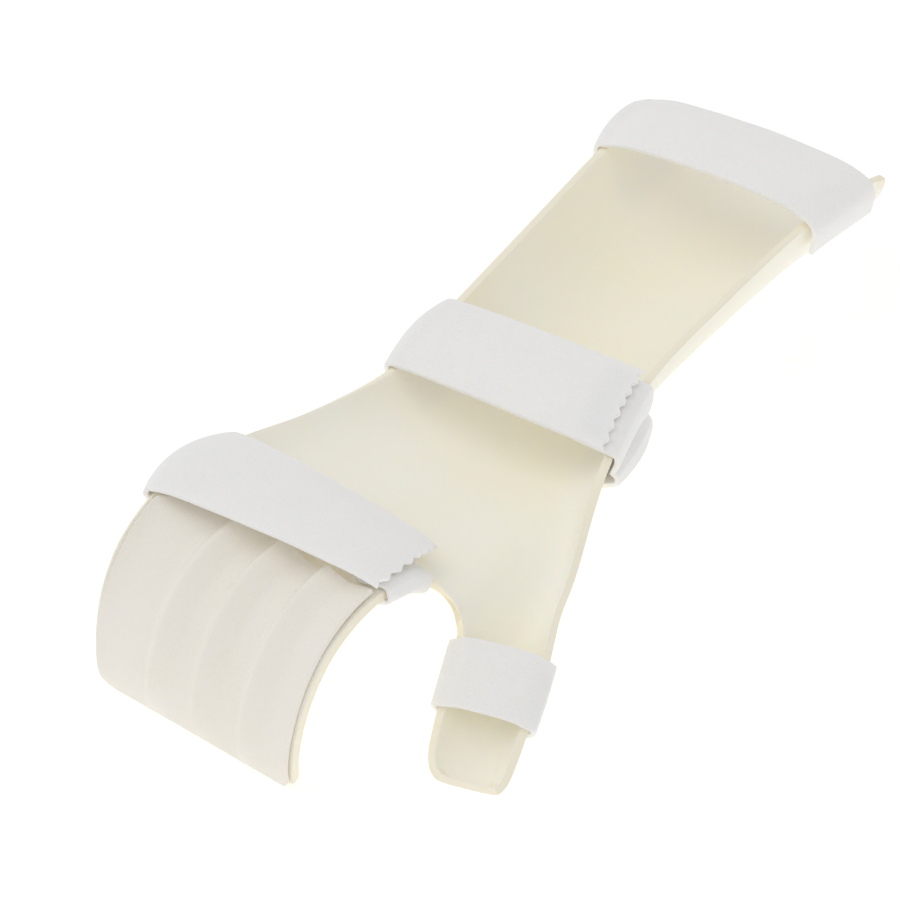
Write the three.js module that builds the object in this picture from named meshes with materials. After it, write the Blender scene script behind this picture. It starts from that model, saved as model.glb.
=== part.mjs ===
// Resting hand splint for a right hand: a moulded plastic trough under the forearm, wrist, palm, fingers and
// thumb, with a ridged liner in the finger pan and four hook-and-loop straps.
// Millimetres. Pieces are laid out in the forearm's frame: the origin is the trough's floor under the wrist,
// +X runs to the fingertips, +Y to the thumb side and +Z up to the back of the hand. The last group tilts
// them to the way the splint rests and puts the origin under the middle of its box.
import * as THREE from "three";

// Driving sizes in millimetres, angles in degrees
const WALL = 3;
const GAP = 0.4;
const WALL_GAP = 0.8;
const RIM_GAP = 0.9;
const STRAP_WIDTH = 38;
const STRAP_THICKNESS = 2;
const THUMB_STRAP_WIDTH = 23;
const TEETH = 7;
const TOOTH = 1.7;
const LINER_THICKNESS = 1.8;
const LINER_GAP = 0.6;
const LINER_MARGIN = 0.25;
const LINER_SHORT = 0.9;
const LINER_TUCK = { ulnar: -1, middle: 5.6, radial: 2 };
const PAN_WIDTH = 86;
const RIDGE_HEIGHT = 4;
const RIDGE_FEET = { ulnar: 3.2, radial: 9 };
const REST_PITCH = 4.14;
const LEVEL_END = -90 - REST_PITCH;
const TROUGH_POWER = 2.15;
const FLARED_POWER = 1.85;

// Ribs of the forearm trough from the elbow end to the wrist: place along the forearm, floor height, half
// widths to the two rims and heights of the rims above the floor; the elbow end bows out past the rims
const TROUGH_RIBS = [
  { x: -171, bow: 8, floor: -1, ulnar: 48, radial: 46, ulnarRim: 30, radialRim: 33, power: FLARED_POWER },
  { x: -155, floor: 0, ulnar: 46, radial: 44, ulnarRim: 35, radialRim: 35 },
  { x: -120, floor: 0, ulnar: 43.4, radial: 40.5, ulnarRim: 34.7, radialRim: 34.7 },
  { x: -70, floor: 0, ulnar: 40, radial: 38.5, ulnarRim: 30.5, radialRim: 30.5 },
  { x: -20, floor: 0, ulnar: 37.2, radial: 39.2, ulnarRim: 25.6, radialRim: 26.3 },
  { x: 17, floor: 1, ulnar: 37.8, radial: 48, ulnarRim: 17.5, radialRim: 21 },
];

// Ribs of the palm: the ulnar rim, the floor, the seam that runs to the web and the radial rim that runs on
// to the thumb; from the seam the section runs on by a lead, a reach and a drop, then up to the rim by a lip
const PALM_RIBS = [
  {
    ulnarX: 40, ulnarY: -42.5, ulnarZ: 19, floorX: 44, floorZ: 5, seamX: 44, seamY: 37, seamZ: 7.5,
    rimX: 36.5, rimY: 54, rimZ: 13, lead: 0, reach: 8, drop: 1, lip: 9,
  },
  {
    ulnarX: 62, ulnarY: -46, ulnarZ: 22.5, floorX: 68, floorZ: 10.5, seamX: 68, seamY: 40, seamZ: 9,
    rimX: 56, rimY: 61.5, rimZ: 5, lead: 4, reach: 7, drop: 5, lip: 10,
  },
  {
    ulnarX: 85, ulnarY: -49.5, ulnarZ: 28, floorX: 91, floorZ: 16.5, seamX: 90.5, seamY: 42.2, seamZ: 11.5,
    rimX: 70.5, rimY: 66, rimZ: 1, lead: 12, reach: 2, drop: 12, lip: 12,
  },
];

// Ribs of the finger pan: step from the rib before, pitch of the floor, half widths and rim heights
const PAN_RIBS = [
  { step: 14, pitch: 15, ulnar: 51, radial: 34, ulnarRim: 10.5, radialRim: 4.5 },
  { step: 12, pitch: 5, ulnar: 52, radial: 32.8, ulnarRim: 9, radialRim: 5 },
  { step: 10, pitch: -10, ulnar: 52.2, radial: 32, ulnarRim: 8, radialRim: 4.5 },
  { step: 11, pitch: -30, ulnar: 52, radial: 31.4, ulnarRim: 7, radialRim: 3.5 },
  { step: 12, pitch: -52, ulnar: 51.6, radial: 30.8, ulnarRim: 6, radialRim: 2.5 },
  { step: 13, pitch: -69, ulnar: 51.2, radial: 30, ulnarRim: 5, radialRim: 2 },
  { step: 13, pitch: -81, ulnar: 51, radial: 29.2, ulnarRim: 4, radialRim: 1.5 },
  { step: 7, pitch: -88, ulnar: 50.5, radial: 28.6, ulnarRim: 3, radialRim: 1 },
  { step: 4, pitch: LEVEL_END, ulnar: 48.8, radial: 28.2, ulnarRim: 1.2, radialRim: 0.4 },
  { step: 2.5, pitch: LEVEL_END, ulnar: 46.2, radial: 27.6, ulnarRim: 0, radialRim: 0 },
  { step: 1, pitch: LEVEL_END, ulnar: 43.8, radial: 27.2, ulnarRim: 0, radialRim: 0 },
];

// The thumb trough: middle of its rims at the rear of its strap, and the turn of its axis from the forearm's
const THUMB_ROOT = { x: 95.5, y: 63.5, z: 1.3 };
const THUMB_YAW = 18.5;
const THUMB_PITCH = -26;
const THUMB_ROLL = -6;
const THUMB_RIBS = [
  { along: 0, ulnar: 12.4, radial: 12.4, hollow: 10 },
  { along: 12, ulnar: 12.2, radial: 12.1, hollow: 9.6 },
  { along: 25, ulnar: 12, radial: 11.6, hollow: 8.6 },
  { along: 33, ulnar: 11.7, radial: 11.2, hollow: 6.4 },
  { along: 37, ulnar: 11.1, radial: 10.9, hollow: 4.8 },
  { along: 39.5, ulnar: 9.8, radial: 10.5, hollow: 3.8 },
  { along: 41, ulnar: 7.4, radial: 9.2, hollow: 2.8 },
];

// Straps: where the rear edge meets the two rims along the hand, the width at the ulnar rim, the arch of the
// free span, the belly that stands off the ulnar wall, and how far the rear and front of the end stop short
const FOREARM_STRAP = { ulnarX: -158, arch: 4.5, belly: 2.4 };
const WRIST_STRAP = {
  ulnarX: -17.5, radialX: -19, ulnarWidth: 35.5, arch: 0.8, belly: 2.8, rearShort: 1, frontShort: 1,
};
const PALM_STRAP = {
  ulnarX: 88, radialX: 82, ulnarWidth: 38, arch: 3, belly: 3.4, rearShort: 4, frontShort: -3,
};
const PALM_STRAP_HEIGHT = 4.4;
const THUMB_STRAP = { rear: -2, arch: 1.5 };

// The paths that bands take round a rim, as steps out from the skin face and up from the edge, with the
// shares of a band's belly that each step takes out and up
const SNUG_TURN = [
  { out: WALL + 0.9, up: -1, outShare: 1, upShare: 0.2 },
  { out: WALL + 0.4, up: 0.5, outShare: 0.9, upShare: 0.7 },
  { out: WALL / 2, up: RIM_GAP, outShare: 0.35, upShare: 1 },
  { out: 0, up: RIM_GAP, outShare: 0, upShare: 0.85 },
];
const LOOSE_TURN = [
  { out: 6.1, up: -4.5 },
  { out: 6.1, up: -1 },
  { out: 4.6, up: 1.7 },
  { out: WALL / 2, up: 2.6 },
];
const LOOSE_WALL = { column: 24, off: 3 };
const LOOPED_TURN = [
  { out: WALL / 2, up: RIM_GAP, outShare: 0 },
  { out: 3.5, up: 0.4, outShare: 0 },
  { out: 4, up: -2, outShare: 0 },
  { out: 3.9, up: -5.5, outShare: 0 },
  { out: 3.4, up: -9, outShare: 0 },
  { out: 3, up: -11.8, outShare: 0 },
  { out: 4.6, up: -13.6, outShare: 0.75 },
  { out: 4.8, up: -16.6, outShare: 1 },
  { out: 2.4, up: -19.5, outShare: 0.6 },
];
const LOOP_BELLY = 3;
const LOOP_TAPER = 0.6;

// Columns of the shell's grid that the bands follow, deepest first
const FOREARM_WALL = [6, 5, 4, 3, 2, 1];
const WRIST_WALL = [5, 4, 3, 2, 1];
const PALM_WALL = [4, 3, 2, 1];
const THUMB_ULNAR_WALL = [22, 21];
const THUMB_RADIAL_WALL = [24, 25];
const PALM_TAB_COLUMNS = [14, 15, 16];
const PALM_TAB_REAR = 93;
const PALM_TAB_FRONT = 115.5;
const WRIST_TAB_INBOARD = 14;
const WRIST_TAB_INSET = 2;
const WRIST_TAB_WALL = [21, 20];

// The crests of the dividers, as shares of the pan's width at the palm strap and at the fingertips; each
// rises steeply from its ulnar foot and slopes away to its radial one
const RIDGES = [
  { near: 0.345, far: 0.27 },
  { near: 0.545, far: 0.51 },
  { near: 0.775, far: 0.765 },
];

// Columns of the shell's grid across the hand and the thumb, where the pan and the thumb part at the web
const HAND_COLUMNS = 18;
const THUMB_COLUMNS = 8;
const PAN_EDGE = 16;
const THUMB_EDGE = 20;
const RADIAL_RIM = HAND_COLUMNS + THUMB_COLUMNS;
const SEAM_ANGLE = 35;
const MIDDLE_COLUMN = 8;
const THUMB_MIDDLE = 23;
const ROW_STEP = 8;
const SMOOTHING = 2;
const WEB_REACH = { columns: 3, rows: 2 };
const LINER_STEPS = [6, 2, 4, 2, 2, 4, 3, 2, 4, 3];
const LINER_ROWS = 13;
const SPAN_STEPS = 14;

const vec = (x, y, z) => new THREE.Vector3(x, y, z);
const rad = THREE.MathUtils.degToRad;
const { lerp } = THREE.MathUtils;
const range = (count) => Array.from({ length: count }, (_, index) => index);
const steps = (from, to, count) => range(count + 1).map((index) => lerp(from, to, index / count));
const spaced = (points, count) => new THREE.CatmullRomCurve3(points).getSpacedPoints(count);

// How far a rounded section has gone out and up at an angle from its floor
function roundedSection(angle, power = TROUGH_POWER) {
  return {
    outward: Math.sign(angle) * Math.abs(Math.sin(rad(angle))) ** (2 / power),
    upward: 1 - Math.cos(rad(angle)) ** (2 / power),
  };
}

// A rib whose points are eased towards their neighbours, with its two ends left where they are
function smoothed(rib) {
  return range(SMOOTHING).reduce((points) => points.map((point, index) => {
    if (index === 0 || index === points.length - 1) return point;
    const between = points[index - 1].clone().lerp(points[index + 1], 0.5);
    return point.clone().lerp(between, 0.5);
  }), rib);
}

function troughRib({ x, floor, ulnar, radial, ulnarRim, radialRim, power, bow = 0 }) {
  const at = (angle) => {
    const { outward, upward } = roundedSection(angle, power);
    const [width, rim] = angle < 0 ? [ulnar, ulnarRim] : [radial, radialRim];
    return vec(x - bow * Math.cos(rad(angle)), width * outward, floor + rim * upward);
  };
  const hand = spaced(steps(-90, SEAM_ANGLE, 24).map(at), HAND_COLUMNS);
  const thumb = spaced(steps(SEAM_ANGLE, 90, 16).map(at), THUMB_COLUMNS);
  return [...hand, ...thumb.slice(1)];
}

function palmRib(rib) {
  const floor = vec(rib.floorX, 0, rib.floorZ);
  const seam = vec(rib.seamX, rib.seamY, rib.seamZ);
  const rim = vec(rib.rimX, rib.rimY, rib.rimZ);
  const ulnarSide = steps(-90, 0, 16).map((angle) => {
    const { outward, upward } = roundedSection(angle);
    const z = lerp(rib.floorZ, rib.ulnarZ, upward);
    return vec(lerp(rib.floorX, rib.ulnarX, -outward), -outward * rib.ulnarY, z);
  });
  const palm = steps(0.1, 1, 9).map((share) => {
    const point = floor.clone().lerp(seam, share);
    point.z = lerp(rib.floorZ, rib.seamZ, share ** 2);
    return point;
  });
  const leave = seam.clone().add(vec(rib.lead, rib.reach, -rib.drop));
  const rise = rim.clone().addScaledVector(thumbFrame.up, -rib.lip);
  const thenar = new THREE.CubicBezierCurve3(seam, leave, rise, rim).getPoints(16);
  const hand = spaced([...ulnarSide, ...palm], HAND_COLUMNS);
  return smoothed([...hand, ...spaced(thenar, THUMB_COLUMNS).slice(1)]);
}

function panRibs() {
  const last = PALM_RIBS.at(-1);
  const floor = vec(last.floorX, 0, last.floorZ);
  let before = PAN_RIBS[0].pitch;
  return PAN_RIBS.map((rib) => {
    const heading = rad((before + rib.pitch) / 2);
    before = rib.pitch;
    floor.add(vec(rib.step * Math.cos(heading), 0, rib.step * Math.sin(heading)));
    const up = vec(-Math.sin(rad(rib.pitch)), 0, Math.cos(rad(rib.pitch)));
    const section = steps(-90, 0, 16).map((angle) => {
      const { outward, upward } = roundedSection(angle);
      return floor.clone().add(vec(0, rib.ulnar * outward, 0)).addScaledVector(up, rib.ulnarRim * upward);
    });
    const flat = steps(0.1, 1, 9).map((share) =>
      floor.clone().add(vec(0, rib.radial * share, 0)).addScaledVector(up, rib.radialRim * share ** 2));
    return spaced([...section, ...flat], PAN_EDGE);
  });
}

function frameOfThumb() {
  const turn = new THREE.Euler(rad(THUMB_ROLL), rad(-THUMB_PITCH), rad(THUMB_YAW), "ZYX");
  const axis = (x, y, z) => vec(x, y, z).applyEuler(turn);
  return { along: axis(1, 0, 0), across: axis(0, 1, 0), up: axis(0, 0, 1) };
}

function thumbRibs() {
  const root = vec(THUMB_ROOT.x, THUMB_ROOT.y, THUMB_ROOT.z);
  return THUMB_RIBS.map(({ along, ulnar, radial, hollow }) => {
    const middle = root.clone().addScaledVector(thumbFrame.along, along);
    const section = steps(-90, 90, 24).map((angle) => {
      const { outward, upward } = roundedSection(angle);
      return middle.clone()
        .addScaledVector(thumbFrame.across, outward * (angle < 0 ? ulnar : radial))
        .addScaledVector(thumbFrame.up, hollow * (upward - 1));
    });
    return spaced(section, RADIAL_RIM - THUMB_EDGE);
  });
}

const thumbFrame = frameOfThumb();
const trunk = [...TROUGH_RIBS.map(troughRib), ...PALM_RIBS.map(palmRib)];
const pan = panRibs();
const thumb = thumbRibs();
const WEB_ROW = trunk.length - 1;

// Each column is one smooth curve through the ribs, read at any place counted in ribs
const columns = range(RADIAL_RIM + 1).map((column) => {
  const points = trunk.map((rib) => rib[column]);
  if (column <= PAN_EDGE) points.push(...pan.map((rib) => rib[column]));
  if (column >= THUMB_EDGE) points.push(...thumb.map((rib) => rib[column - THUMB_EDGE]));
  return { curve: new THREE.CatmullRomCurve3(points, false, "centripetal"), last: points.length - 1 };
});
const shellPoint = (column, place) => columns[column].curve.getPoint(place / columns[column].last);

// The face of the shell that meets the skin: its normal, and the way its columns follow each other
function shellFrame(column, place) {
  const onThumb = place > WEB_ROW && column >= THUMB_EDGE;
  const onPan = place > WEB_ROW && column <= PAN_EDGE;
  const first = Math.max(onThumb ? THUMB_EDGE : 0, column - 1);
  const last = Math.min(onPan ? PAN_EDGE : RADIAL_RIM, column + 1);
  const nudge = 0.02;
  const along = shellPoint(column, place + nudge).sub(shellPoint(column, place - nudge));
  const across = shellPoint(last, place).sub(shellPoint(first, place)).normalize();
  return { point: shellPoint(column, place), across, normal: along.cross(across).normalize() };
}
const overShell = (column, place, height) => {
  const { point, normal } = shellFrame(column, place);
  return point.addScaledVector(normal, height);
};
const underShell = (column, place, clearance) => overShell(column, place, -WALL - clearance);

// Points that turn round a rim; side is -1 on an ulnar rim and 1 on a radial one
function roundRim(column, place, side, turn) {
  const { point, across, normal } = shellFrame(column, place);
  return turn.map(({ out, up }) =>
    point.clone().addScaledVector(normal, -out).addScaledVector(across, side * up));
}

// The place, counted in ribs, where a column has come a given way along the hand
function placeWhere(column, reached) {
  let [low, high] = [0, columns[column].last];
  for (let turn = 0; turn < 40; turn += 1) {
    const half = (low + high) / 2;
    if (reached(shellPoint(column, half)) < 0) low = half;
    else high = half;
  }
  return low;
}
const placeAtX = (column, x) => placeWhere(column, (point) => point.x - x);

// A closed solid from a sheet of points: the back lies a thickness under the face along its normals
function solidFromSheet(points, triangles, thickness) {
  const face = new THREE.BufferGeometry().setFromPoints(points).setIndex(triangles.flat());
  face.computeVertexNormals();
  const normals = face.getAttribute("normal");
  const depth = typeof thickness === "function" ? thickness : () => thickness;
  const back = points.map((point, index) =>
    point.clone().addScaledVector(vec(0, 0, 0).fromBufferAttribute(normals, index), -depth(index)));
  const under = points.length;
  const edges = new Set(triangles.flatMap(([a, b, c]) => [`${a} ${b}`, `${b} ${c}`, `${c} ${a}`]));
  const pairs = [...edges].map((edge) => edge.split(" ").map(Number));
  const sides = pairs.filter(([a, b]) => !edges.has(`${b} ${a}`));
  const faces = [
    ...triangles,
    ...triangles.map(([a, b, c]) => [c + under, b + under, a + under]),
    ...sides.flatMap(([a, b]) => [[b, a, a + under], [b, a + under, b + under]]),
  ];
  const solid = new THREE.BufferGeometry().setFromPoints([...points, ...back]).setIndex(faces.flat());
  solid.computeVertexNormals();
  return solid;
}

// Rows of the grid, several between each two ribs, spaced by the length of one column
function rowPlaces(column, from, to) {
  const places = [from];
  for (let rib = from; rib < to; rib += 1) {
    const length = shellPoint(column, rib).distanceTo(shellPoint(column, rib + 1));
    places.push(...steps(rib, rib + 1, Math.max(1, Math.round(length / ROW_STEP))).slice(1));
  }
  return places;
}

function shellGeometry() {
  const points = [];
  const triangles = [];
  const known = new Map();
  const corner = (column, rib) => {
    const key = `${column} ${rib.toFixed(4)}`;
    const branch = rib > WEB_ROW && column >= THUMB_EDGE ? "thumb" : "hand";
    if (!known.has(branch + key)) {
      known.set(branch + key, points.length);
      points.push(shellPoint(column, rib));
    }
    return known.get(branch + key);
  };
  const patch = (places, first, last) => {
    for (let row = 0; row < places.length - 1; row += 1) {
      for (let column = first; column < last; column += 1) {
        const [a, b] = [corner(column, places[row]), corner(column + 1, places[row])];
        const [c, d] = [corner(column + 1, places[row + 1]), corner(column, places[row + 1])];
        triangles.push([a, c, b], [a, d, c]);
      }
    }
  };
  patch(rowPlaces(MIDDLE_COLUMN, 0, WEB_ROW), 0, RADIAL_RIM);
  patch(rowPlaces(MIDDLE_COLUMN, WEB_ROW, columns[MIDDLE_COLUMN].last), 0, PAN_EDGE);
  const thumbPlaces = rowPlaces(THUMB_MIDDLE, WEB_ROW, columns[THUMB_MIDDLE].last);
  patch(thumbPlaces, THUMB_EDGE, RADIAL_RIM);

  // The corner of the web is filled in to a round, from the web's edge to the thumb's
  const web = steps(THUMB_EDGE - WEB_REACH.columns, THUMB_EDGE, WEB_REACH.columns)
    .map((column) => corner(column, WEB_ROW));
  const side = thumbPlaces.slice(1, WEB_REACH.rows + 1).map((place) => corner(THUMB_EDGE, place));
  const chain = [...web, ...side];
  const ends = [chain[0], web.at(-1), chain.at(-1)].map((index) => points[index]);
  const round = new THREE.QuadraticBezierCurve3(...ends).getPoints(chain.length - 1).slice(1, -1);
  const edge = [chain[0], ...round.map((point) => points.push(point) - 1), chain.at(-1)];
  for (let step = 0; step < chain.length - 1; step += 1) {
    if (step > 0) triangles.push([chain[step], edge[step], edge[step + 1]]);
    if (step < chain.length - 2) triangles.push([chain[step], edge[step + 1], chain[step + 1]]);
  }
  return solidFromSheet(points, triangles, WALL);
}

// The liner lies on the pan from under the palm strap to the fingertips, thicker along the dividers; it
// reaches further under the strap in the middle, where the strap stands clear of the pan
function linerGeometry() {
  const ulnarStart = placeAtX(0, PALM_STRAP.ulnarX + STRAP_WIDTH - LINER_TUCK.ulnar);
  const radialStart = placeAtX(PAN_EDGE, PALM_STRAP.radialX + STRAP_WIDTH - LINER_TUCK.radial);
  const end = columns[0].last - LINER_SHORT;
  const points = [];
  const heights = [];
  for (const way of steps(0, 1, LINER_ROWS)) {
    for (const column of linerColumns(way)) {
      const share = column / PAN_EDGE;
      const start = lerp(ulnarStart, radialStart, share) - LINER_TUCK.middle * share * (1 - share) ** 2;
      const place = lerp(start, end, way);
      const left = Math.min(Math.floor(column), PAN_EDGE - 1);
      const [near, far] = [overShell(left, place, LINER_GAP), overShell(left + 1, place, LINER_GAP)];
      points.push(near.lerp(far, column - left));
      heights.push(LINER_THICKNESS + ridgeHeight(share, way));
    }
  }
  const triangles = gridTriangles(LINER_ROWS + 1, linerColumns(0).length).map(([a, b, c]) => [a, c, b]);
  return solidFromSheet(points, triangles, (index) => heights[index]);
}

// The liner's columns in one row, even between the feet and the crests of the dividers
function linerColumns(way) {
  const perMillimetre = PAN_EDGE / PAN_WIDTH;
  const lines = RIDGES.flatMap(({ near, far }) => {
    const crest = lerp(near, far, way) * PAN_EDGE;
    return [crest - RIDGE_FEET.ulnar * perMillimetre, crest, crest + RIDGE_FEET.radial * perMillimetre];
  });
  const marks = [LINER_MARGIN, ...lines, PAN_EDGE - LINER_MARGIN];
  const columnsTo = (count, index) => steps(marks[index], marks[index + 1], count).slice(1);
  return [LINER_MARGIN, ...LINER_STEPS.flatMap(columnsTo)];
}

function ridgeHeight(share, way) {
  const fade = 1 - THREE.MathUtils.smoothstep(way, 0.5, 1);
  return RIDGES.reduce((height, { near, far }) => {
    const off = (share - lerp(near, far, way)) * PAN_WIDTH;
    const foot = off < 0 ? RIDGE_FEET.ulnar : RIDGE_FEET.radial;
    return height + RIDGE_HEIGHT * fade * Math.max(0, 1 - Math.abs(off) / foot);
  }, 0);
}

function gridTriangles(rows, width) {
  return range(rows - 1).flatMap((row) => range(width - 1).flatMap((step) => {
    const [a, b] = [row * width + step, (row + 1) * width + step];
    return [[a, b, b + 1], [a, b + 1, a + 1]];
  }));
}

// A band from lines of points that run across the hand, rear line first; the points are its inner face
function bandGeometry(lines) {
  const triangles = gridTriangles(lines.length, lines[0].length).map(([a, b, c]) => [a, c, b]);
  return solidFromSheet(lines.flat(), triangles, STRAP_THICKNESS);
}

// Points of a free span between two rims, arched upward
function archPoints(from, to, arch) {
  return steps(0, 1, SPAN_STEPS).slice(1, -1).map((share) =>
    from.clone().lerp(to, share).add(vec(0, 0, arch * Math.sqrt(4 * share * (1 - share)))));
}

// Points up the outside of a wall and round its rim, standing off by a belly
function overRim(wallColumns, rim, place, side, belly = 0) {
  const wall = wallColumns.map((column, index) =>
    underShell(column, place, WALL_GAP + (belly * (index + 1)) / wallColumns.length));
  const turn = SNUG_TURN.map(({ out, up, outShare, upShare }) =>
    ({ out: out + belly * outShare, up: up + belly * upShare }));
  return [...wall, ...roundRim(rim, place, side, turn)];
}

function forearmStrap() {
  const lines = steps(0, 1, 6).map((share) => {
    const place = placeAtX(0, FOREARM_STRAP.ulnarX + STRAP_WIDTH * share);
    const ulnar = overRim(FOREARM_WALL, 0, place, -1, FOREARM_STRAP.belly * Math.sin(Math.PI * share));
    const end = underShell(LOOSE_WALL.column, place, LOOSE_WALL.off);
    const radial = [end, ...roundRim(RADIAL_RIM, place, 1, LOOSE_TURN)].reverse();
    return [...ulnar, ...archPoints(ulnar.at(-1), radial[0], FOREARM_STRAP.arch), ...radial];
  });
  return bandGeometry(lines);
}

// The wrist strap and the palm strap run from the ulnar wall to a pinked end by the thumb
function pinkedStrap(strap, wallColumns, endOf) {
  const marks = steps(strap.radialX, strap.radialX + STRAP_WIDTH, 2);
  const ends = new THREE.CatmullRomCurve3(marks.map(endOf));
  const lines = steps(0, 1, 2 * TEETH).map((share, index) => {
    const place = placeAtX(0, strap.ulnarX + strap.ulnarWidth * share);
    const ulnar = overRim(wallColumns, 0, place, -1, strap.belly * Math.sin(Math.PI * share));
    const start = ulnar.at(-1);
    const end = ends.getPoint(share);
    end.lerp(start, lerp(strap.rearShort, strap.frontShort, share) / end.distanceTo(start));
    const span = archPoints(start, end, strap.arch);
    const notch = (index % 2) * TOOTH;
    return [...ulnar, ...span, end.lerp(span.at(-1), notch / end.distanceTo(span.at(-1)))];
  });
  return bandGeometry(lines);
}

function wristStrap() {
  const top = { out: WALL / 2, up: RIM_GAP + STRAP_THICKNESS + GAP };
  return pinkedStrap(WRIST_STRAP, WRIST_WALL, (x) =>
    roundRim(RADIAL_RIM, placeAtX(RADIAL_RIM, x), 1, [top])[0]);
}

function palmStrap() {
  return pinkedStrap(PALM_STRAP, PALM_WALL, (x) =>
    overShell(PAN_EDGE, placeAtX(PAN_EDGE, x), PALM_STRAP_HEIGHT));
}

// The wrist strap's under-layer comes over the radial rim, dips to the wall, loops out and turns back to it
function wristTab() {
  const inset = WRIST_TAB_INSET / STRAP_WIDTH;
  const lines = steps(inset, 1 - inset, 8).map((share) => {
    const ulnarPlace = placeAtX(0, WRIST_STRAP.ulnarX + WRIST_STRAP.ulnarWidth * share);
    const [opposite] = roundRim(0, ulnarPlace, -1, SNUG_TURN.slice(-1));
    const place = placeAtX(RADIAL_RIM, WRIST_STRAP.radialX + STRAP_WIDTH * share);
    const depth = lerp(1, LOOP_TAPER, share);
    const belly = LOOP_BELLY * Math.sin(Math.PI * share);
    const turn = LOOPED_TURN.map(({ out, up, outShare }) =>
      ({ out: out + belly * outShare, up: up * depth }));
    const loop = roundRim(RADIAL_RIM, place, 1, turn);
    const back = WRIST_TAB_WALL.map((column) => underShell(column, place, WALL_GAP));
    const inner = loop[0].clone().lerp(opposite, WRIST_TAB_INBOARD / loop[0].distanceTo(opposite));
    const inboard = steps(0, 1, 3).slice(0, -1).map((way) => inner.clone().lerp(loop[0], way));
    return [...inboard, ...loop, ...back];
  });
  return bandGeometry(lines);
}

// The palm strap's under-layer folds round the radial edge of the pan
function palmTab() {
  const lines = steps(PALM_TAB_REAR, PALM_TAB_FRONT, 5).map((x) => {
    const place = placeAtX(PAN_EDGE, x);
    const over = PALM_TAB_COLUMNS.map((column) => overShell(column, place, WALL_GAP));
    const fold = roundRim(PAN_EDGE, place, 1, [{ out: 0, up: RIM_GAP }, { out: WALL, up: RIM_GAP }]);
    const under = PALM_TAB_COLUMNS.toReversed().map((column) => underShell(column, place, WALL_GAP));
    return [...over, ...fold, ...under];
  });
  return bandGeometry(lines);
}

function thumbStrap() {
  const root = vec(THUMB_ROOT.x, THUMB_ROOT.y, THUMB_ROOT.z);
  const lines = steps(THUMB_STRAP.rear, THUMB_STRAP.rear + THUMB_STRAP_WIDTH, 4).map((along) => {
    const placeOf = (column) => placeWhere(column, (point) => point.sub(root).dot(thumbFrame.along) - along);
    const ulnar = overRim(THUMB_ULNAR_WALL, THUMB_EDGE, placeOf(THUMB_EDGE), -1);
    const radial = overRim(THUMB_RADIAL_WALL, RADIAL_RIM, placeOf(RADIAL_RIM), 1).reverse();
    return [...ulnar, ...archPoints(ulnar.at(-1), radial[0], THUMB_STRAP.arch), ...radial];
  });
  return bandGeometry(lines);
}

function piece(name, geometry, color, roughness) {
  const mesh = new THREE.Mesh(geometry, new THREE.MeshStandardMaterial({ color, roughness, metalness: 0 }));
  mesh.name = name;
  return mesh;
}

const SHELL_COLOUR = 0xe6dfd1;
const LINER_COLOUR = 0xe6e2db;
const STRAP_COLOUR = 0xdedcd9;

const worn = new THREE.Group();
worn.add(
  piece("shell", shellGeometry(), SHELL_COLOUR, 0.45),
  piece("finger_liner", linerGeometry(), LINER_COLOUR, 0.7),
  piece("forearm_strap", forearmStrap(), STRAP_COLOUR, 0.9),
  piece("wrist_strap", wristStrap(), STRAP_COLOUR, 0.9),
  piece("wrist_tab", wristTab(), STRAP_COLOUR, 0.9),
  piece("palm_strap", palmStrap(), STRAP_COLOUR, 0.9),
  piece("palm_tab", palmTab(), STRAP_COLOUR, 0.9),
  piece("thumb_strap", thumbStrap(), STRAP_COLOUR, 0.9),
);
worn.rotation.y = rad(-REST_PITCH);

const splint = new THREE.Group();
splint.add(worn);
const box = new THREE.Box3().setFromObject(splint, true);
const middle = box.getCenter(vec(0, 0, 0));
worn.position.set(-middle.x, -middle.y, -box.min.z);

export default splint;
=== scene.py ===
"""Resting hand splint for a right hand: a warm white moulded shell, a soft white liner in the finger pan and
four loop-faced straps, two of them with an under-layer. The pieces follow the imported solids, in metres."""
import math

import bmesh
import bpy
from mathutils import Matrix, Vector, noise


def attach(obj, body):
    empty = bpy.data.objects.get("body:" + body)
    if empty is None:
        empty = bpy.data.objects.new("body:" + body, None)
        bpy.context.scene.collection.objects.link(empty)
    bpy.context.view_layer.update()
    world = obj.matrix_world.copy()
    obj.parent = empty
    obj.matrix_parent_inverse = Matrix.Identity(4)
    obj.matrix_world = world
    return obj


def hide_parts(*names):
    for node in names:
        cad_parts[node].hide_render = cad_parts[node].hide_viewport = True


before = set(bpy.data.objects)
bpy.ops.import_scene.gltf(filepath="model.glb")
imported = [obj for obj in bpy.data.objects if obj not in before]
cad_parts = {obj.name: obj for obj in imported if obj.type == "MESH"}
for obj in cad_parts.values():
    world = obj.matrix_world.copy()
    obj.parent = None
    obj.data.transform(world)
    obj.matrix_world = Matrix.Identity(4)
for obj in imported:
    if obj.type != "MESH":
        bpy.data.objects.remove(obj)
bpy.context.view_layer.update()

# The photograph's camera: what it looks at, where it stands round that, and its lens
LOOK_AT = Vector((-0.01459, -0.06084, -0.03679))
AZIMUTH = math.radians(129.163)
ELEVATION = math.radians(43.192)
ROLL = math.radians(-3.689)
DISTANCE = 0.9
LENS_MM = 95.0
SENSOR_MM = 36.0

# Studio: strength of the white surround, half width and glow of the lit table, bounces of the light
SURROUND = 0.655
FLOOR_HALF = 4.0
FLOOR_GLOW = 0.29
LIGHT_BOUNCES = 10

# The two soft boxes: shares of the camera's right, up and back that lead to each, then its size and watts
KEY_TOWARD = (-0.6, 0.75, 0.35)
KEY_DISTANCE = 1.6
KEY_SIZE = 1.3
KEY_POWER = 4.4
FILL_TOWARD = (0.15, 0.25, 1.0)
FILL_DISTANCE = 1.8
FILL_SIZE = 1.6
FILL_POWER = 2.6

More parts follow.
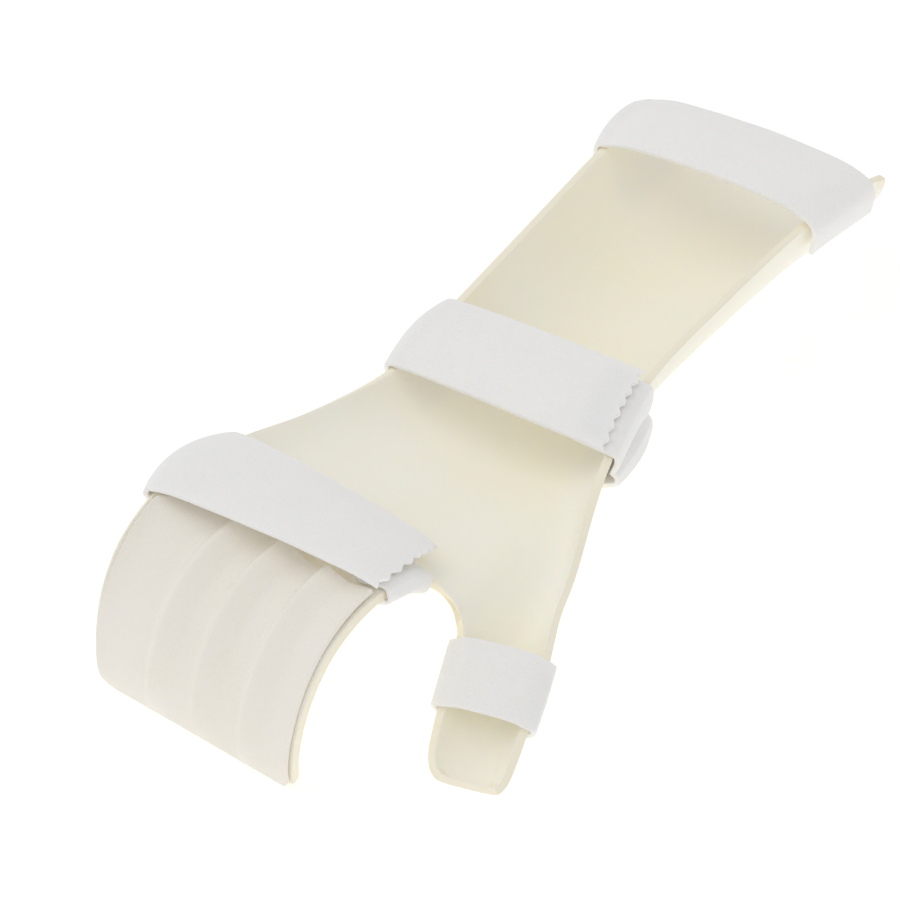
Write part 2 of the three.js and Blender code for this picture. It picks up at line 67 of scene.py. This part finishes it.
# Merging a solid's triangles: corners this close are one, and pairs bend and skew no more than this
MERGE_WITHIN = 2e-5
PAIR_BEND = math.radians(45)
PAIR_SKEW = math.radians(60)

# Rounded edges: bends past the sharp angle are edges, and a liner's edge below the crest angle is a crest
SHARP_ANGLE = math.radians(48)
CREST_ANGLE = math.radians(80)
SHELL_ROUND = 0.0011
STRAP_ROUND = 0.00045
LINER_ROUND = 0.0005
CREST_ROUND = 0.0013
ROUND_SEGMENTS = 2
SMOOTH_LEVELS = 2

# Unevenness of hand-formed sheet and soft cloth: height and length of its waves
SHELL_WAVE = (0.00022, 0.045)
STRAP_WAVE = (0.00022, 0.016)
LINER_WAVE = (0.00012, 0.02)

# Tones of the finishes: stops of a colour ramp, each a position on it and a colour
SHELL_TONES = ((0.3, (0.98, 0.94, 0.8)), (0.5, (0.98, 0.946, 0.835)), (0.72, (0.98, 0.955, 0.88)))
CUT_TONES = ((0.3, (0.965, 0.905, 0.73)), (0.7, (0.97, 0.92, 0.775)))
LINER_TONES = ((0.3, (0.915, 0.872, 0.785)), (0.7, (0.925, 0.89, 0.825)))
# Painted shade in the liner's pores: grey at a pore's middle, fading to white
LINER_PORE_SHADE = ((0.0, (0.9, 0.89, 0.87)), (0.35, (1.0, 1.0, 1.0)))
STRAP_TONES = ((0.3, (0.93, 0.92, 0.905)), (0.7, (0.95, 0.94, 0.925)))
# Painted shade in the strap's pile: the low hollows between tufts grey, the tops white
STRAP_PIT_SHADE = ((0.28, (0.86, 0.855, 0.85)), (0.55, (1.0, 1.0, 1.0)))
PAPER_TONES = ((0.3, (0.93, 0.93, 0.925)), (0.7, (0.95, 0.95, 0.945)))
WHITE = (1.0, 1.0, 1.0, 1.0)

# The strapping: each piece, the solid it stands for, its cut width and length, and what it rests on
STRAPS = (
    ("forearm_band", "forearm_strap", (0.038, 0.158), ["moulded_shell"]),
    ("wrist_underlayer", "wrist_tab", (0.034, 0.0545), ["moulded_shell"]),
    ("wrist_band", "wrist_strap", (0.037, 0.123), ["moulded_shell", "wrist_underlayer"]),
    ("palm_underlayer", "palm_tab", (0.0215, 0.038), ["moulded_shell"]),
    ("palm_band", "palm_strap", (0.038, 0.132), ["moulded_shell", "palm_underlayer"]),
    ("thumb_band", "thumb_strap", (0.023, 0.072), ["moulded_shell"]),
)


# Forms
def merged_copy(node):
    """The node's own mesh with its corners merged and its triangles paired."""
    form = bmesh.new()
    form.from_mesh(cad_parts[node].data)
    bmesh.ops.remove_doubles(form, verts=form.verts, dist=MERGE_WITHIN)
    bmesh.ops.join_triangles(
        form,
        faces=form.faces,
        angle_face_threshold=PAIR_BEND,
        angle_shape_threshold=PAIR_SKEW,
    )
    return form


def sharp_edges(form):
    """The edges where two faces meet at a corner, such as those of a cut edge."""
    form.normal_update()
    return [e for e in form.edges if len(e.link_faces) == 2 and e.calc_face_angle(0) > SHARP_ANGLE]


def mark_cut_faces(form):
    """Gives the narrow faces along a cut edge the piece's second material."""
    corners = set(sharp_edges(form))
    for face in form.faces:
        if sum(e in corners for e in face.edges) >= 2:
            face.material_index = 1


def round_edges(form, edges, radius):
    """Rounds the edges over, as wear and trimming do."""
    bmesh.ops.bevel(
        form,
        geom=edges,
        offset=radius,
        offset_type="OFFSET",
        affect="EDGES",
        segments=ROUND_SEGMENTS,
        profile=0.5,
        clamp_overlap=True,
        material=-1,
    )


def finished_piece(form, name, node, materials):
    """A smooth piece in the node's place, which moves with the splint."""
    mesh = bpy.data.meshes.new(name)
    form.to_mesh(mesh)
    form.free()
    piece = bpy.data.objects.new(name, mesh)
    bpy.context.scene.collection.objects.link(piece)
    for material in materials:
        mesh.materials.append(material)
    mesh.polygons.foreach_set("use_smooth", [True] * len(mesh.polygons))
    smooth = piece.modifiers.new("smooth", "SUBSURF")
    smooth.levels = SMOOTH_LEVELS
    smooth.render_levels = SMOOTH_LEVELS
    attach(piece, "root")
    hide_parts(node)
    return piece


def settle(piece, wave):
    """Bakes the piece's modifiers and lets its surface wander by a little."""
    height, length = wave
    seen = piece.evaluated_get(bpy.context.evaluated_depsgraph_get())
    mesh = bpy.data.meshes.new_from_object(seen)
    piece.modifiers.clear()
    piece.data = mesh
    normals = [v.normal.copy() for v in mesh.vertices]
    for vertex, normal in zip(mesh.vertices, normals):
        vertex.co += normal * height * noise.noise(vertex.co / length)


# Parts of a finish
def new_material(name):
    """A material with its tree, its shader and the place on the piece that its patterns read."""
    material = bpy.data.materials.new(name)
    material.use_nodes = True
    tree = material.node_tree
    shader = tree.nodes["Principled BSDF"]
    place = tree.nodes.new("ShaderNodeTexCoord").outputs["Object"]
    return material, tree, shader, place


def speckle(tree, place, scale, detail=3.0, roughness=0.55):
    """Cloudy noise, finer as the scale grows."""
    node = tree.nodes.new("ShaderNodeTexNoise")
    node.inputs["Scale"].default_value = scale
    node.inputs["Detail"].default_value = detail
    node.inputs["Roughness"].default_value = roughness
    tree.links.new(place, node.inputs["Vector"])
    return node.outputs["Fac"]


def cells(tree, place, scale):
    """The distance from the middle of the nearest of many small cells."""
    node = tree.nodes.new("ShaderNodeTexVoronoi")
    node.inputs["Scale"].default_value = scale
    tree.links.new(place, node.inputs["Vector"])
    return node.outputs["Distance"]


def ramp(tree, value, stops):
    """A colour for each value between the stops."""
    node = tree.nodes.new("ShaderNodeValToRGB")
    points = node.color_ramp.elements
    while len(points) < len(stops):
        points.new(0.5)
    for point, (position, colour) in zip(points, stops):
        point.position = position
        point.color = (*colour, 1.0)
    tree.links.new(value, node.inputs["Fac"])
    return node.outputs["Color"]


def level(tree, value, low, high):
    """The value spread between two levels."""
    node = tree.nodes.new("ShaderNodeMapRange")
    node.inputs["To Min"].default_value = low
    node.inputs["To Max"].default_value = high
    tree.links.new(value, node.inputs["Value"])
    return node.outputs["Result"]


def tinted(tree, base, shade, share):
    """The base colour multiplied by the shade, by a share."""
    node = tree.nodes.new("ShaderNodeMix")
    node.data_type = "RGBA"
    node.blend_type = "MULTIPLY"
    node.inputs["Factor"].default_value = share
    tree.links.new(base, node.inputs["A"])
    tree.links.new(shade, node.inputs["B"])
    return node.outputs["Result"]


def relief(tree, height, depth, strength, below=None):
    """A bump of that depth in metres, laid over the one below it."""
    node = tree.nodes.new("ShaderNodeBump")
    node.inputs["Strength"].default_value = strength
    node.inputs["Distance"].default_value = depth
    tree.links.new(height, node.inputs["Height"])
    if below is not None:
        tree.links.new(below, node.inputs["Normal"])
    return node.outputs["Normal"]


# Finishes
def moulded_plastic():
    """Warm white sheet with a satin surface, a cloudy tone and a faint orange peel."""
    material, tree, shader, place = new_material("moulded_plastic")
    cloud = speckle(tree, place, scale=16, detail=2.0)
    tree.links.new(ramp(tree, cloud, SHELL_TONES), shader.inputs["Base Color"])
    satin = level(tree, speckle(tree, place, scale=90), low=0.36, high=0.52)
    tree.links.new(satin, shader.inputs["Roughness"])
    waves = relief(tree, speckle(tree, place, scale=38, detail=1.0), depth=0.0006, strength=0.35)
    peel = relief(tree, speckle(tree, place, scale=900), depth=0.00012, strength=0.3, below=waves)
    tree.links.new(peel, shader.inputs["Normal"])
    shader.inputs["Subsurface Weight"].default_value = 0.25
    shader.inputs["Subsurface Radius"].default_value = (1.0, 0.75, 0.4)
    shader.inputs["Subsurface Scale"].default_value = 0.005
    shader.inputs["Specular IOR Level"].default_value = 0.3
    return material


def cut_plastic():
    """The trimmed edge of the sheet: deeper in tone, with fine marks of the blade."""
    material, tree, shader, place = new_material("cut_plastic")
    marks = speckle(tree, place, scale=420, detail=4.0)
    tree.links.new(ramp(tree, marks, CUT_TONES), shader.inputs["Base Color"])
    tree.links.new(relief(tree, marks, depth=0.0002, strength=0.4), shader.inputs["Normal"])
    shader.inputs["Roughness"].default_value = 0.55
    shader.inputs["Specular IOR Level"].default_value = 0.3
    return material


def liner_foam():
    """Soft white lining with a fine closed-cell surface, its pores darkened with painted shade."""
    material, tree, shader, place = new_material("liner_foam")
    tone = ramp(tree, speckle(tree, place, scale=30, detail=2.0), LINER_TONES)
    pores = cells(tree, place, scale=1500)
    # The pores are darkened towards their middles, painted shade in the hollows of the foam
    pore_shade = ramp(tree, pores, LINER_PORE_SHADE)
    tree.links.new(tinted(tree, tone, pore_shade, share=0.6), shader.inputs["Base Color"])
    soft = relief(tree, speckle(tree, place, scale=160), depth=0.0003, strength=0.35)
    grain = relief(tree, pores, depth=0.0002, strength=0.35, below=soft)
    tree.links.new(grain, shader.inputs["Normal"])
    shader.inputs["Roughness"].default_value = 0.6
    shader.inputs["Specular IOR Level"].default_value = 0.35
    shader.inputs["Sheen Weight"].default_value = 0.08
    return material


def loop_cloth():
    """White brushed loop facing: a fine uneven pile of small tufts, the hollows between them darkened a
    little with painted shade.
    """
    material, tree, shader, place = new_material("loop_cloth")
    tone = ramp(tree, speckle(tree, place, scale=55, detail=2.0), STRAP_TONES)
    pile = speckle(tree, place, scale=1900, detail=4.0, roughness=0.7)
    # The low parts of the pile are darkened, painted shade between the tufts
    pit_shade = ramp(tree, pile, STRAP_PIT_SHADE)
    tree.links.new(tinted(tree, tone, pit_shade, share=0.4), shader.inputs["Base Color"])
    nap = relief(tree, speckle(tree, place, scale=260), depth=0.0004, strength=0.25)
    tufts = relief(tree, cells(tree, place, scale=1700), depth=0.0002, strength=0.3, below=nap)
    loops = relief(tree, pile, depth=0.0002, strength=0.35, below=tufts)
    tree.links.new(loops, shader.inputs["Normal"])
    shader.inputs["Roughness"].default_value = 0.95
    shader.inputs["Specular IOR Level"].default_value = 0.15
    shader.inputs["Subsurface Weight"].default_value = 0.35
    shader.inputs["Subsurface Radius"].default_value = (1.0, 0.9, 0.75)
    shader.inputs["Subsurface Scale"].default_value = 0.004
    shader.inputs["Sheen Weight"].default_value = 0.3
    shader.inputs["Sheen Roughness"].default_value = 0.6
    return material


def white_paper():
    """The lit table under the splint."""
    material, tree, shader, place = new_material("white_paper")
    grain = ramp(tree, speckle(tree, place, scale=40), PAPER_TONES)
    tree.links.new(grain, shader.inputs["Base Color"])
    shader.inputs["Roughness"].default_value = 0.9
    shader.inputs["Emission Color"].default_value = WHITE
    shader.inputs["Emission Strength"].default_value = FLOOR_GLOW
    return material


# Pieces
def make_shell(plastic, edge):
    """The moulded sheet, with its trimmed edges in their own finish."""
    form = merged_copy("shell")
    mark_cut_faces(form)
    round_edges(form, sharp_edges(form), SHELL_ROUND)
    piece = finished_piece(form, "moulded_shell", "shell", [plastic, edge])
    settle(piece, SHELL_WAVE)


def make_liner(foam):
    """The lining of the finger pan, with soft crests on its dividers and crisper borders."""
    form = merged_copy("finger_liner")
    crests = [e for e in sharp_edges(form) if e.calc_face_angle(0) < CREST_ANGLE]
    round_edges(form, crests, CREST_ROUND)
    borders = [e for e in sharp_edges(form) if e.calc_face_angle(0) >= CREST_ANGLE]
    round_edges(form, borders, LINER_ROUND)
    piece = finished_piece(form, "ridged_liner", "finger_liner", [foam])
    settle(piece, LINER_WAVE)


def make_strap(name, node, cloth):
    """A band or under-layer of loop-faced strapping, in its solid's shape."""
    form = merged_copy(node)
    round_edges(form, sharp_edges(form), STRAP_ROUND)
    piece = finished_piece(form, name, node, [cloth])
    settle(piece, STRAP_WAVE)


# Stage: camera, light and floor
def camera_axes():
    """The camera's right and up, and the way back from what it looks at."""
    back = Vector((
        math.sin(AZIMUTH) * math.cos(ELEVATION),
        -math.cos(AZIMUTH) * math.cos(ELEVATION),
        math.sin(ELEVATION),
    ))
    level_right = Vector((math.cos(AZIMUTH), math.sin(AZIMUTH), 0.0))
    level_up = back.cross(level_right)
    right = math.cos(ROLL) * level_right + math.sin(ROLL) * level_up
    return right, back.cross(right), back


def make_camera():
    right, up, back = camera_axes()
    camera = bpy.data.objects.new("camera", bpy.data.cameras.new("camera"))
    camera.data.sensor_fit = "HORIZONTAL"
    camera.data.sensor_width = SENSOR_MM
    camera.data.lens = LENS_MM
    turn = Matrix((right, up, back)).transposed().to_4x4()
    camera.matrix_world = Matrix.Translation(LOOK_AT + back * DISTANCE) @ turn
    bpy.context.scene.collection.objects.link(camera)
    bpy.context.scene.camera = camera


def make_light(name, toward, distance, size, power):
    """A soft box that faces the splint."""
    right, up, back = camera_axes()
    direction = right * toward[0] + up * toward[1] + back * toward[2]
    light = bpy.data.lights.new(name, "AREA")
    light.size = size
    light.energy = power
    lamp = bpy.data.objects.new(name, light)
    lamp.location = direction.normalized() * distance
    lamp.rotation_euler = direction.to_track_quat("Z", "Y").to_euler()
    bpy.context.scene.collection.objects.link(lamp)


def make_surround():
    """The white room round the table, and how its light is shown."""
    world = bpy.data.worlds.new("studio")
    world.use_nodes = True
    sky = world.node_tree.nodes["Background"]
    sky.inputs["Color"].default_value = WHITE
    sky.inputs["Strength"].default_value = SURROUND
    bpy.context.scene.world = world
    bpy.context.scene.view_settings.view_transform = "Standard"
    bpy.context.scene.cycles.diffuse_bounces = LIGHT_BOUNCES


def make_floor():
    form = bmesh.new()
    bmesh.ops.create_grid(form, x_segments=1, y_segments=1, size=FLOOR_HALF)
    mesh = bpy.data.meshes.new("floor")
    form.to_mesh(mesh)
    form.free()
    mesh.materials.append(white_paper())
    floor = bpy.data.objects.new("floor", mesh)
    bpy.context.scene.collection.objects.link(floor)


make_camera()
make_light("key", KEY_TOWARD, KEY_DISTANCE, KEY_SIZE, KEY_POWER)
make_light("fill", FILL_TOWARD, FILL_DISTANCE, FILL_SIZE, FILL_POWER)
make_surround()
make_floor()
strap_cloth = loop_cloth()
make_shell(moulded_plastic(), cut_plastic())
make_liner(liner_foam())
for strap, solid, cut_size, under in STRAPS:
    make_strap(strap, solid, strap_cloth)
